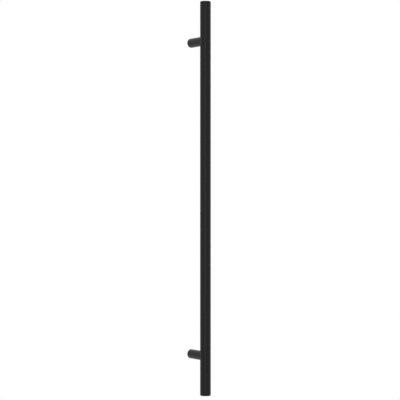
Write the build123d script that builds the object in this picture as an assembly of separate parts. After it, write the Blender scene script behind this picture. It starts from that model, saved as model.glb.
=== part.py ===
from build123d import *
import os
from math import radians, tan

# Round bar pull for a cabinet door or drawer: a capped steel tube carried by two coped posts.
# Millimetres. +Z runs up along the bar, +X to the right and +Y into the door.
# The origin lies on the door's face, midway between the two mounting holes.

# Overall sizes
bar_length = 440.0
bar_diameter = 12.0
projection = 35.0
hole_spacing = 352.0

# Bar tube
tube_wall = 1.0
seam_break = 0.15

# End caps
cap_head_thickness = 2.0
cap_edge_chamfer = 0.5
spigot_length = 6.0
spigot_wall = 1.6
spigot_lead_chamfer = 0.5
spigot_core_floor = 1.0
rib_count = 6
rib_width = 0.8
rib_height = 0.18
rib_lead_length = 1.2
press_clearance = 0.02

# Posts
post_diameter = 10.5
foot_chamfer = 0.5
saddle_clearance = 0.05

# Mounting thread in the foot of each post, M4
mounting_thread_diameter = 4.0
mounting_thread_pitch = 0.7
mounting_thread_runout = 1.5
mounting_countersink = 0.4

# Joining thread between each post and the insert in the tube, M5
joining_thread_diameter = 5.0
joining_thread_pitch = 0.8
joining_thread_depth = 6.5
joining_thread_runout = 0.8
thread_clearance = 0.05
tube_hole_clearance = 0.2
drill_point_angle = 118.0
web_between_holes = 2.0

# Joining screws, socket set screws with a cup point
screw_tip_gap = 0.3
screw_setback = 1.15
screw_end_chamfer = 0.6
socket_width = 2.5
socket_depth = 3.0
cup_diameter = 2.5
cup_angle = 120.0

# Inserts inside the tube
insert_length = 16.0
insert_clearance = 0.05
insert_end_chamfer = 0.6

# Sizes that follow
bar_radius = bar_diameter / 2
bore_radius = bar_radius - tube_wall
tube_length = bar_length - 2 * cap_head_thickness
bar_axis_height = projection - bar_radius
post_length = projection - bar_diameter
insert_radius = bore_radius - insert_clearance
rib_crest_radius = bore_radius - press_clearance
spigot_radius = rib_crest_radius - rib_height
post_heights = {"top": hole_spacing / 2, "bottom": -hole_spacing / 2}

ON_AXIS = (Align.CENTER, Align.CENTER, Align.MIN)
BAR_AXIS = Pos(0, -bar_axis_height, 0)
# A piece that is drawn upright from the door's face is tipped over, to stand out of the door.
OUT_OF_DOOR = Rot(90, 0, 0)


def turned(outline):
    """A solid turned from its half outline, given as (radius, height) points."""
    return revolve(Plane.XZ * make_face(Polyline(*outline, close=True)), Axis.Z)


def drill_point(radius):
    return radius / tan(radians(drill_point_angle / 2))


def tapped_hole(diameter, pitch, depth, runout, countersink=0.0, approach=0.0):
    """A blind tapped hole, drawn at the thread's outside diameter down to the full thread's end.

    The mouth is at height 0 and the hole goes up. The approach clears the way in below the mouth.
    """
    radius = diameter / 2
    pilot = radius - pitch / 2
    tip = depth + runout + drill_point(pilot)
    outline = [(0, -approach)]
    outline += [(radius, -approach)] if approach else [(radius + countersink, 0)]
    outline += [(radius, countersink)] if countersink else []
    outline += [(radius, depth), (pilot, depth), (pilot, depth + runout), (0, tip)]
    return turned(outline)


def mounting_thread_depth():
    """What the joining hole and the web between the two holes leave of the post's length."""
    joining_pilot = (joining_thread_diameter - joining_thread_pitch) / 2
    joining_hole = joining_thread_depth + joining_thread_runout + drill_point(joining_pilot)
    mounting_pilot = (mounting_thread_diameter - mounting_thread_pitch) / 2
    mounting_end = mounting_thread_runout + drill_point(mounting_pilot)
    return post_length - joining_hole - web_between_holes - mounting_end


def make_post():
    """A turned post, upright on the door's face, coped to sit on the back of the bar."""
    post = Cylinder(post_diameter / 2, bar_axis_height, align=ON_AXIS)
    post = chamfer(post.edges().filter_by(GeomType.CIRCLE).sort_by(Axis.Z)[0], foot_chamfer)
    cope = Cylinder(bar_radius + saddle_clearance, 2 * post_diameter, rotation=(90, 0, 0))
    post -= Pos(0, 0, bar_axis_height) * cope
    post -= tapped_hole(
        mounting_thread_diameter,
        mounting_thread_pitch,
        mounting_thread_depth(),
        mounting_thread_runout,
        countersink=mounting_countersink,
    )
    joining_hole = tapped_hole(
        joining_thread_diameter,
        joining_thread_pitch,
        joining_thread_depth,
        joining_thread_runout,
        approach=bar_radius,
    )
    post -= Pos(0, 0, post_length) * Rot(180, 0, 0) * joining_hole
    return post


def make_joining_screw():
    """A set screw from inside the post to inside the insert, with its hex socket on the bar's side."""
    radius = joining_thread_diameter / 2 - thread_clearance
    low = post_length - joining_thread_depth + screw_tip_gap
    high = bar_axis_height + insert_radius - screw_setback
    cup_depth = cup_diameter / 2 / tan(radians(cup_angle / 2))
    screw = turned(
        [
            (0, low + cup_depth),
            (cup_diameter / 2, low),
            (radius - screw_end_chamfer, low),
            (radius, low + screw_end_chamfer),
            (radius, high - screw_end_chamfer),
            (radius - screw_end_chamfer, high),
            (0, high),
        ]
    )
    hexagon = RegularPolygon(socket_width / 2, 6, major_radius=False)
    return screw - extrude(Pos(0, 0, high - socket_depth) * hexagon, socket_depth)


def make_insert():
    """A round nut along the bar's axis, tapped across its middle."""
    insert = Cylinder(insert_radius, insert_length)
    insert = chamfer(insert.edges().filter_by(GeomType.CIRCLE), insert_end_chamfer)
    return insert - Cylinder(joining_thread_diameter / 2, 2 * bar_diameter, rotation=(90, 0, 0))


def make_bar_tube():
    """The tube on its own axis, with a clearance hole through its back wall at each post."""
    tube = Cylinder(bar_radius, tube_length)
    tube = chamfer(tube.edges().filter_by(GeomType.CIRCLE), seam_break)
    tube -= Cylinder(bore_radius, tube_length)
    hole_radius = joining_thread_diameter / 2 + tube_hole_clearance
    hole = Cylinder(hole_radius, bar_diameter, align=ON_AXIS, rotation=(-90, 0, 0))
    for height in post_heights.values():
        tube -= Pos(0, 0, height) * hole
    return tube


def make_crush_rib():
    """One rib along the spigot, tapered where it enters the tube."""
    root = spigot_radius - rib_height
    outline = [
        (root, 0),
        (rib_crest_radius, 0),
        (rib_crest_radius, -spigot_length + rib_lead_length),
        (root, -spigot_length + spigot_lead_chamfer),
    ]
    rib = extrude(Plane.XZ * make_face(Polyline(*outline, close=True)), rib_width / 2, both=True)
    return rib & Pos(0, 0, -spigot_length / 2) * Cylinder(rib_crest_radius, spigot_length)


def make_end_cap():
    """A cap that looks up: its head ends the bar, and its ribbed and cored spigot fills the bore."""
    core_radius = spigot_radius - spigot_wall
    core_top = -spigot_core_floor
    cap = turned(
        [
            (0, core_top),
            (core_radius, core_top),
            (core_radius, -spigot_length),
            (spigot_radius - spigot_lead_chamfer, -spigot_length),
            (spigot_radius, -spigot_length + spigot_lead_chamfer),
            (spigot_radius, 0),
            (bar_radius - seam_break, 0),
            (bar_radius, seam_break),
            (bar_radius, cap_head_thickness - cap_edge_chamfer),
            (bar_radius - cap_edge_chamfer, cap_head_thickness),
            (0, cap_head_thickness),
        ]
    )
    rib = make_crush_rib()
    for number in range(rib_count):
        cap += Rot(0, 0, 360 * number / rib_count) * rib
    return cap


def make_pull():
    """Every piece in its place, by the name of its node."""
    post = OUT_OF_DOOR * make_post()
    insert = BAR_AXIS * make_insert()
    screw = OUT_OF_DOOR * make_joining_screw()
    cap = make_end_cap()
    pull = {
        "bar_tube": BAR_AXIS * make_bar_tube(),
        "top_end_cap": BAR_AXIS * Pos(0, 0, tube_length / 2) * cap,
        "bottom_end_cap": BAR_AXIS * Pos(0, 0, -tube_length / 2) * Rot(180, 0, 0) * cap,
    }
    for end, height in post_heights.items():
        pull[f"{end}_post"] = Pos(0, 0, height) * post
        pull[f"{end}_tube_insert"] = Pos(0, 0, height) * insert
    screws = [Pos(0, 0, height) * screw for height in post_heights.values()]
    pull["joining_screws"] = Compound(children=screws)
    return pull


os.makedirs("parts", exist_ok=True)
for node, shape in make_pull().items():
    export_step(shape, f"parts/{node}.step")
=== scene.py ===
import math

import bpy
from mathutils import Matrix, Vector


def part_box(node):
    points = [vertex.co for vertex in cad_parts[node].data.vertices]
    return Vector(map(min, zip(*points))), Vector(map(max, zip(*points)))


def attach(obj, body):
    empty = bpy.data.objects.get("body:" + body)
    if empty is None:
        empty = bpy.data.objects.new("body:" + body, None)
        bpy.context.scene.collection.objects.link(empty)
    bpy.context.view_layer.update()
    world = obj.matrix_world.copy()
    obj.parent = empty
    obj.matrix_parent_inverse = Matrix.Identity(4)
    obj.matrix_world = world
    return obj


# A round bar pull in matt black powder coat, held by two coped posts. Metres, +Z up along the bar.

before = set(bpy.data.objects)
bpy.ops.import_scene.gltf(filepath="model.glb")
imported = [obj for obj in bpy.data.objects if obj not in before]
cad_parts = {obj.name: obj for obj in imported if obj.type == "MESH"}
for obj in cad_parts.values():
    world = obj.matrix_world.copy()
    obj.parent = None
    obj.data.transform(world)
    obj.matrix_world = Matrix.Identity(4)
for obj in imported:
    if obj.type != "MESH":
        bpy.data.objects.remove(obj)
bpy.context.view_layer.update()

MM = 0.001
DEGREE = math.radians(1)
QUARTER_TURN = 90 * DEGREE
FULL_TURN = 360 * DEGREE

# Where things are in the frame
BAR_LOW, BAR_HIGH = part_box("bar_tube")
BAR_MIDDLE = (BAR_LOW + BAR_HIGH) / 2
POST_LOW, POST_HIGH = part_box("top_post")
HOLE_HEIGHT = (POST_LOW.z + POST_HIGH.z) / 2

# Where the photograph was taken from, and where it shows the middle of the bar. Azimuths are in
# degrees from straight in front, towards +X.
VIEW_AZIMUTH = -34.5
VIEW_DISTANCE = 1.524
IMAGE_SIDE = 400
FOCAL_PIXELS = 1365.0
BAR_AXIS_X = 205.45
BAR_MIDDLE_Y = 198.5
SENSOR_WIDTH = 36.0
CLIP_NEAR = 0.01
CLIP_FAR = 100

# Studio: an even white room, a tall soft lamp near the camera, another opposite it, and a pale
# floor. A background of 1 shows white.
BACKGROUND_LEVEL = 1
ROOM_LIGHT = 0.75
FRONT_LAMP_AZIMUTH = -42.5
FRONT_LAMP_POWER = 9.5
BACK_LAMP_AZIMUTH = 137.5
BACK_LAMP_POWER = 8.0
LAMP_ELEVATION = 2
LAMP_DISTANCE = 1.6
LAMP_WIDTH = 0.35
LAMP_TALL = 2.2
FLOOR_HEIGHT = -0.30
FLOOR_SIZE = 0.8
FLOOR_PALE = 0.8
FLOOR_LIFT = 0.31

# All noises, and the part of their range over which a tone goes from dark to light
NOISE_DETAIL = 2
TONE_STOPS = (0.3, 0.7)

# Matt black powder coat, a little smoother on the turned posts than on the long tube
COAT_DARK = (0.0051, 0.0051, 0.0052)
COAT_LIGHT = (0.0069, 0.0069, 0.0070)
COAT_SPECULAR = 0.17
COAT_SHINE_SPREAD = 0.05
BAR_ROUGHNESS = 0.45
POST_ROUGHNESS = 0.32
PEEL_SCALE = 700
PEEL_HEIGHT = 0.04 * MM
GRAIN_SCALE = 3500
GRAIN_HEIGHT = 0.04 * MM

# Steel, zinc plated on the hidden fasteners and bare in the mounting holes
STEEL_DARK = (0.42, 0.42, 0.42)
STEEL_LIGHT = (0.56, 0.56, 0.55)
STEEL_ROUGHNESS = 0.28
STEEL_SHINE_SPREAD = 0.08
STEEL_GRAIN_HEIGHT = 0.01 * MM

# The M4 mounting hole in the foot of each post, with a 90 degree countersink and the point of a
# 118 degree drill
HOLE_RADIUS = 2.0 * MM
PILOT_RADIUS = 1.65 * MM
THREAD_DEPTH = 9.95 * MM
PILOT_DEPTH = 11.45 * MM
DRILL_HALF_ANGLE = 59 * DEGREE
DRILL_POINT = PILOT_RADIUS / math.tan(DRILL_HALF_ANGLE)
COUNTERSINK_RADIUS = 2.4 * MM
COUNTERSINK_TOOL_RADIUS = 3.4 * MM
# The thread is countersunk this little less, so that its cut ends level with the face of the skin.
COUNTERSINK_LIFT = 0.027 * MM

# Its thread, whose tooth stands inwards from the wall of the hole
THREAD_PITCH = 0.7 * MM
THREAD_TURNS = 15
THREAD_STEPS = 48
ROUND_CORNERS = 2 * THREAD_STEPS
TOOTH_CORNERS = 4
CREST_WIDTH = THREAD_PITCH / 4
FLANK_ANGLE = 30 * DEGREE
FLANK_SLOPE = math.tan(FLANK_ANGLE)
TOOTH_SUNK = 0.01 * MM
CUT_THRESHOLD = 0.0001 * MM
SHARP_EDGE = 12 * DEGREE
SLIVER_SIZE = 0.001 * MM
# Joining solids leaves their faces in an order that changes from run to run. They are sorted by
# their distance from this point, which lies off all lines of symmetry.
SORTING_POINT = (0.0137, 0.0291, 0.2113)

# Its bare steel starts inside the countersink, where the plug stood that kept the coat out. The
# skin of steel lies along these radii and depths, and ends in the drill's point.
SKIN_WALL = 0.04 * MM
BARE_RADIUS = 2.25 * MM
HOLE_OUTLINE = (
    (BARE_RADIUS, COUNTERSINK_RADIUS - BARE_RADIUS),
    (HOLE_RADIUS, COUNTERSINK_RADIUS - HOLE_RADIUS),
    (HOLE_RADIUS, THREAD_DEPTH),
    (PILOT_RADIUS, THREAD_DEPTH),
    (PILOT_RADIUS, PILOT_DEPTH),
)


def direction(azimuth, elevation):
    """The way out from the object, azimuth degrees round from the front, elevation degrees up."""
    turn, rise = azimuth * DEGREE, elevation * DEGREE
    level = math.cos(rise)
    return Vector((math.sin(turn) * level, -math.cos(turn) * level, math.sin(rise)))


def look_back(thing, out):
    """Turns a camera or lamp that stands out from the object to look straight back at it."""
    thing.rotation_mode = "QUATERNION"
    thing.rotation_quaternion = (-out).to_track_quat("-Z", "Y")


def make_camera():
    """The photograph's own view: level with the bar's middle, from the front and to the left."""
    out = direction(VIEW_AZIMUTH, 0)
    right = direction(VIEW_AZIMUTH + 90, 0)
    metres_per_pixel = VIEW_DISTANCE / FOCAL_PIXELS
    across = (BAR_AXIS_X - IMAGE_SIDE / 2) * metres_per_pixel
    up = (IMAGE_SIDE / 2 - BAR_MIDDLE_Y) * metres_per_pixel
    place = BAR_MIDDLE + out * VIEW_DISTANCE - right * across - Vector((0, 0, up))
    bpy.ops.object.camera_add(location=place)
    camera = bpy.context.object
    camera.name = "camera"
    look_back(camera, out)
    camera.data.sensor_width = SENSOR_WIDTH
    camera.data.lens = FOCAL_PIXELS * SENSOR_WIDTH / IMAGE_SIDE
    camera.data.clip_start = CLIP_NEAR
    camera.data.clip_end = CLIP_FAR
    bpy.context.scene.camera = camera


def make_lamp(name, azimuth, power):
    """A tall soft box that looks at the middle of the bar."""
    out = direction(azimuth, LAMP_ELEVATION)
    bpy.ops.object.light_add(type="AREA", location=BAR_MIDDLE + out * LAMP_DISTANCE)
    lamp = bpy.context.object
    lamp.name = name
    look_back(lamp, out)
    lamp.data.shape = "RECTANGLE"
    lamp.data.size = LAMP_WIDTH
    lamp.data.size_y = LAMP_TALL
    lamp.data.energy = power
    lamp.visible_camera = False


def node_at(tree, kind, x, y, **values):
    """A shader node at a place in the tree, with its properties set."""
    node = tree.nodes.new(kind)
    node.location = (x, y)
    for name, value in values.items():
        setattr(node, name, value)
    return node


def grey(level):
    return (level, level, level, 1)


def seen_at(tree, x, y):
    """1 for a ray from the camera, a reflection or glass, 0 for the light that falls on things."""
    path = node_at(tree, "ShaderNodeLightPath", x, y)
    mirrored = node_at(tree, "ShaderNodeMath", x + 200, y, operation="MAXIMUM")
    seen = node_at(tree, "ShaderNodeMath", x + 400, y, operation="MAXIMUM")
    tree.links.new(path.outputs["Is Glossy Ray"], mirrored.inputs[0])
    tree.links.new(path.outputs["Is Transmission Ray"], mirrored.inputs[1])
    tree.links.new(path.outputs["Is Camera Ray"], seen.inputs[0])
    tree.links.new(mirrored.outputs[0], seen.inputs[1])
    return seen.outputs[0]


def mix_shaders_at(tree, x, y, share, first, second):
    mix = node_at(tree, "ShaderNodeMixShader", x, y)
    for socket, value in zip(mix.inputs, (share, first, second)):
        tree.links.new(value, socket)
    return mix.outputs[0]


def make_world():
    """White all round to the eye and in reflections, and a plain level of light on the object."""
    world = bpy.data.worlds.new("studio")
    bpy.context.scene.world = world
    world.use_nodes = True
    tree = world.node_tree
    tree.nodes.clear()
    light = node_at(tree, "ShaderNodeBackground", 0, 100)
    light.inputs["Color"].default_value = grey(1)
    light.inputs["Strength"].default_value = ROOM_LIGHT
    white = node_at(tree, "ShaderNodeBackground", 0, -100)
    white.inputs["Color"].default_value = grey(1)
    white.inputs["Strength"].default_value = BACKGROUND_LEVEL
    seen = seen_at(tree, -700, 300)
    both = mix_shaders_at(tree, 250, 0, seen, light.outputs[0], white.outputs[0])
    output = node_at(tree, "ShaderNodeOutputWorld", 500, 0)
    tree.links.new(both, output.inputs["Surface"])


def make_floor():
    """A pale floor under the hanging bar: white, with the bar's shadow, and clear from below."""
    bpy.ops.mesh.primitive_plane_add(size=FLOOR_SIZE, location=(0, 0, FLOOR_HEIGHT))
    floor = bpy.context.object
    floor.name = "floor"
    material = bpy.data.materials.new("floor_paint")
    material.use_nodes = True
    tree = material.node_tree
    tree.nodes.clear()
    paint = node_at(tree, "ShaderNodeBsdfDiffuse", 0, 100)
    paint.inputs["Color"].default_value = grey(FLOOR_PALE)
    lift = node_at(tree, "ShaderNodeEmission", 0, -100)
    lift.inputs["Color"].default_value = grey(FLOOR_LIFT)
    tree.links.new(seen_at(tree, -700, -100), lift.inputs["Strength"])
    lit = node_at(tree, "ShaderNodeAddShader", 250, 0)
    tree.links.new(paint.outputs[0], lit.inputs[0])
    tree.links.new(lift.outputs[0], lit.inputs[1])
    clear = node_at(tree, "ShaderNodeBsdfTransparent", 250, -200)
    side = node_at(tree, "ShaderNodeNewGeometry", 250, 300)
    below = side.outputs["Backfacing"]
    one_sided = mix_shaders_at(tree, 500, 0, below, lit.outputs[0], clear.outputs[0])
    output = node_at(tree, "ShaderNodeOutputMaterial", 750, 0)
    tree.links.new(one_sided, output.inputs["Surface"])
    floor.data.materials.append(material)


def noise_at(tree, x, y, scale):
    """A noise texture that keeps to the object's own coordinates."""
    place = node_at(tree, "ShaderNodeTexCoord", x - 250, y)
    noise = node_at(tree, "ShaderNodeTexNoise", x, y)
    noise.inputs["Scale"].default_value = scale
    noise.inputs["Detail"].default_value = NOISE_DETAIL
    tree.links.new(place.outputs["Object"], noise.inputs["Vector"])
    return noise.outputs["Fac"]


def spread_at(tree, x, y, value, low, high):
    """A value of 0 to 1 spread over another range."""
    spread = node_at(tree, "ShaderNodeMapRange", x, y)
    spread.inputs["To Min"].default_value = low
    spread.inputs["To Max"].default_value = high
    tree.links.new(value, spread.inputs["Value"])
    return spread.outputs["Result"]


def tones_at(tree, x, y, value, dark, light):
    """A noise turned into a colour between two others, over the middle of its range."""
    tones = node_at(tree, "ShaderNodeValToRGB", x, y)
    for stop, position, colour in zip(tones.color_ramp.elements, TONE_STOPS, (dark, light)):
        stop.position = position
        stop.color = (*colour, 1)
    tree.links.new(value, tones.inputs["Fac"])
    return tones.outputs["Color"]


def bump_at(tree, x, y, value, height, under=None):
    """A relief of the given height, over another one where there is one."""
    bump = node_at(tree, "ShaderNodeBump", x, y)
    bump.inputs["Distance"].default_value = height
    tree.links.new(value, bump.inputs["Height"])
    if under:
        tree.links.new(under, bump.inputs["Normal"])
    return bump.outputs["Normal"]


def make_material(name):
    """A new material with one Principled shader, and nothing linked to it yet."""
    material = bpy.data.materials.new(name)
    material.use_nodes = True
    tree = material.node_tree
    tree.nodes.clear()
    shader = node_at(tree, "ShaderNodeBsdfPrincipled", 300, 0)
    output = node_at(tree, "ShaderNodeOutputMaterial", 600, 0)
    tree.links.new(shader.outputs[0], output.inputs["Surface"])
    return material, tree, shader


def make_powder_coat(name, roughness):
    """Matt black powder coat: a fine grain over a soft orange peel, in tone, shine and relief."""
    material, tree, shader = make_material(name)
    peel = noise_at(tree, -700, 150, PEEL_SCALE)
    grain = noise_at(tree, -700, -200, GRAIN_SCALE)
    tone = tones_at(tree, -350, 350, grain, COAT_DARK, COAT_LIGHT)
    smooth, rough = roughness - COAT_SHINE_SPREAD, roughness + COAT_SHINE_SPREAD
    shine = spread_at(tree, -350, 50, peel, smooth, rough)
    soft = bump_at(tree, -350, -250, peel, PEEL_HEIGHT)
    relief = bump_at(tree, -100, -250, grain, GRAIN_HEIGHT, soft)
    shader.inputs["Specular IOR Level"].default_value = COAT_SPECULAR
    tree.links.new(tone, shader.inputs["Base Color"])
    tree.links.new(shine, shader.inputs["Roughness"])
    tree.links.new(relief, shader.inputs["Normal"])
    return material


def make_bright_steel(name):
    """Bright steel with a cloudy tone and a fine uneven shine."""
    material, tree, shader = make_material(name)
    cloud = noise_at(tree, -700, 150, PEEL_SCALE)
    grain = noise_at(tree, -700, -200, GRAIN_SCALE)
    smooth, rough = STEEL_ROUGHNESS - STEEL_SHINE_SPREAD, STEEL_ROUGHNESS + STEEL_SHINE_SPREAD
    tone = tones_at(tree, -350, 350, cloud, STEEL_DARK, STEEL_LIGHT)
    shine = spread_at(tree, -350, 50, grain, smooth, rough)
    relief = bump_at(tree, -350, -250, grain, STEEL_GRAIN_HEIGHT)
    shader.inputs["Metallic"].default_value = 1
    tree.links.new(tone, shader.inputs["Base Color"])
    tree.links.new(shine, shader.inputs["Roughness"])
    tree.links.new(relief, shader.inputs["Normal"])
    return material


def paint(nodes, material):
    for name in nodes:
        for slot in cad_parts[name].material_slots:
            slot.material = material


def pick(piece):
    """Makes a piece the only one that is selected, and the active one."""
    bpy.ops.object.select_all(action="DESELECT")
    piece.select_set(True)
    bpy.context.view_layer.objects.active = piece


def apply_modifier(piece, modifier):
    pick(piece)
    bpy.ops.object.modifier_apply(modifier=modifier.name)


def select_vertices(piece, wanted):
    """Selects the vertices of the piece in edit mode whose place in it passes the test."""
    bpy.ops.mesh.select_all(action="DESELECT")
    bpy.ops.object.mode_set(mode="OBJECT")
    for vertex in piece.data.vertices:
        vertex.select = wanted(vertex.co)
    bpy.ops.object.mode_set(mode="EDIT")


def make_tooth():
    """The section of the thread's tooth: a flat trapezium, its crest towards the hole's axis."""
    rise = HOLE_RADIUS + TOOTH_SUNK - PILOT_RADIUS
    root_width = CREST_WIDTH + 2 * rise * FLANK_SLOPE
    middle = PILOT_RADIUS + rise / 2
    bpy.ops.object.select_all(action="DESELECT")
    bpy.ops.mesh.primitive_plane_add(size=1, calc_uvs=False, location=(0, 0, HOLE_HEIGHT))
    tooth = bpy.context.object
    bpy.ops.object.mode_set(mode="EDIT")
    bpy.ops.transform.resize(value=(rise, root_width, 1), center_override=(0, 0, HOLE_HEIGHT))
    bpy.ops.transform.translate(value=(middle, THREAD_PITCH / 2, 0))
    select_vertices(tooth, lambda place: place.x < middle)
    crest = (middle, THREAD_PITCH / 2, HOLE_HEIGHT)
    bpy.ops.transform.resize(value=(1, CREST_WIDTH / root_width, 1), center_override=crest)
    bpy.ops.object.mode_set(mode="OBJECT")
    return tooth


def wind(thread):
    """Winds the tooth up the hole from just outside the door's face, and closes both its ends."""
    turns = thread.modifiers.new("turns", "SCREW")
    turns.axis = "Y"
    turns.angle = -FULL_TURN
    turns.screw_offset = -THREAD_PITCH
    turns.iterations = THREAD_TURNS
    turns.steps = turns.render_steps = THREAD_STEPS
    apply_modifier(thread, turns)
    bpy.ops.object.mode_set(mode="EDIT")
    bpy.ops.mesh.select_all(action="SELECT")
    bpy.ops.mesh.fill_holes(sides=TOOTH_CORNERS)
    bpy.ops.mesh.select_all(action="SELECT")
    bpy.ops.mesh.normals_make_consistent(inside=False)
    bpy.ops.mesh.bisect(
        plane_co=(0, -THREAD_DEPTH, HOLE_HEIGHT),
        plane_no=(0, -1, 0),
        use_fill=True,
        clear_outer=True,
        threshold=CUT_THRESHOLD,
    )
    bpy.ops.object.mode_set(mode="OBJECT")


def combine(piece, other, operation):
    """Cuts the other solid from the piece or adds it, and removes the other."""
    change = piece.modifiers.new("combine", "BOOLEAN")
    change.operation = operation
    change.solver = "EXACT"
    change.object = other
    apply_modifier(piece, change)
    bpy.data.objects.remove(other)


def countersink(thread):
    """Takes away what the countersink takes from the thread's first turn."""
    base = COUNTERSINK_TOOL_RADIUS - COUNTERSINK_RADIUS + COUNTERSINK_LIFT
    bpy.ops.mesh.primitive_cone_add(
        vertices=ROUND_CORNERS,
        radius1=COUNTERSINK_TOOL_RADIUS,
        depth=COUNTERSINK_TOOL_RADIUS,
        calc_uvs=False,
        location=(0, base - COUNTERSINK_TOOL_RADIUS / 2, HOLE_HEIGHT),
        rotation=(QUARTER_TURN, 0, 0),
    )
    combine(thread, bpy.context.object, "DIFFERENCE")


def make_skin():
    """Bare steel on the wall of the hole: a ring at its rim, drawn down to the drill's point."""
    rim_radius, rim_depth = HOLE_OUTLINE[0]
    bpy.ops.object.select_all(action="DESELECT")
    bpy.ops.mesh.primitive_circle_add(
        vertices=ROUND_CORNERS,
        radius=rim_radius,
        calc_uvs=False,
        location=(0, -rim_depth, HOLE_HEIGHT),
        rotation=(QUARTER_TURN, 0, 0),
    )
    skin = bpy.context.object
    bpy.ops.object.mode_set(mode="EDIT")
    for (radius, depth), (next_radius, next_depth) in zip(HOLE_OUTLINE, HOLE_OUTLINE[1:]):
        down = (0, depth - next_depth, 0)
        bpy.ops.mesh.extrude_region_move(TRANSFORM_OT_translate={"value": down})
        narrow = next_radius / radius
        centre = (0, -next_depth, HOLE_HEIGHT)
        bpy.ops.transform.resize(value=(narrow, 1, narrow), center_override=centre)
    bpy.ops.mesh.extrude_region_move(TRANSFORM_OT_translate={"value": (0, -DRILL_POINT, 0)})
    bpy.ops.mesh.merge(type="CENTER")
    bpy.ops.mesh.select_all(action="SELECT")
    bpy.ops.mesh.normals_make_consistent(inside=False)
    bpy.ops.object.mode_set(mode="OBJECT")
    wall = skin.modifiers.new("wall", "SOLIDIFY")
    wall.thickness = SKIN_WALL
    wall.offset = 0
    wall.use_even_offset = True
    apply_modifier(skin, wall)
    return skin


def settle_mesh(piece):
    """Removes edges and faces too small to see, and puts the rest in an order of their own."""
    pick(piece)
    bpy.ops.object.mode_set(mode="EDIT")
    bpy.ops.mesh.select_all(action="SELECT")
    bpy.ops.mesh.dissolve_degenerate(threshold=SLIVER_SIZE)
    bpy.ops.mesh.select_all(action="SELECT")
    bpy.context.scene.cursor.location = SORTING_POINT
    bpy.ops.mesh.sort_elements(type="CURSOR_DISTANCE", elements={"VERT", "EDGE", "FACE"})
    bpy.context.scene.cursor.location = (0, 0, 0)
    bpy.ops.object.mode_set(mode="OBJECT")


def make_top_mounting_thread():
    """The bare steel in the top post's foot: the tapped thread, and the wall that it stands on."""
    thread = make_tooth()
    wind(thread)
    countersink(thread)
    combine(thread, make_skin(), "UNION")
    settle_mesh(thread)
    bpy.ops.object.transform_apply(location=True, rotation=True, scale=True)
    bpy.ops.object.shade_smooth_by_angle(angle=SHARP_EDGE)
    return thread


def copy_down(piece, drop):
    """A copy of a piece with its own mesh, further down."""
    pick(piece)
    bpy.ops.object.duplicate(linked=False)
    copy = bpy.context.object
    bpy.ops.transform.translate(value=(0, 0, -drop))
    bpy.ops.object.transform_apply(location=True, rotation=True, scale=True)
    return copy


def finish_piece(piece, name, material):
    piece.name = name
    piece.data.name = name
    piece.data.materials.append(material)
    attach(piece, "root")


bpy.context.scene.view_settings.view_transform = "Standard"
make_camera()
make_world()
make_lamp("front_lamp", FRONT_LAMP_AZIMUTH, FRONT_LAMP_POWER)
make_lamp("back_lamp", BACK_LAMP_AZIMUTH, BACK_LAMP_POWER)
make_floor()

bar_coat = make_powder_coat("bar_coat", BAR_ROUGHNESS)
post_coat = make_powder_coat("post_coat", POST_ROUGHNESS)
plated_steel = make_bright_steel("plated_steel")
bare_steel = make_bright_steel("bare_steel")
paint(("bar_tube", "top_end_cap", "bottom_end_cap"), bar_coat)
paint(("top_post", "bottom_post"), post_coat)
paint(("joining_screws", "top_tube_insert", "bottom_tube_insert"), plated_steel)

top_thread = make_top_mounting_thread()
bottom_thread = copy_down(top_thread, 2 * HOLE_HEIGHT)
finish_piece(top_thread, "top_mounting_thread", bare_steel)
finish_piece(bottom_thread, "bottom_mounting_thread", bare_steel)
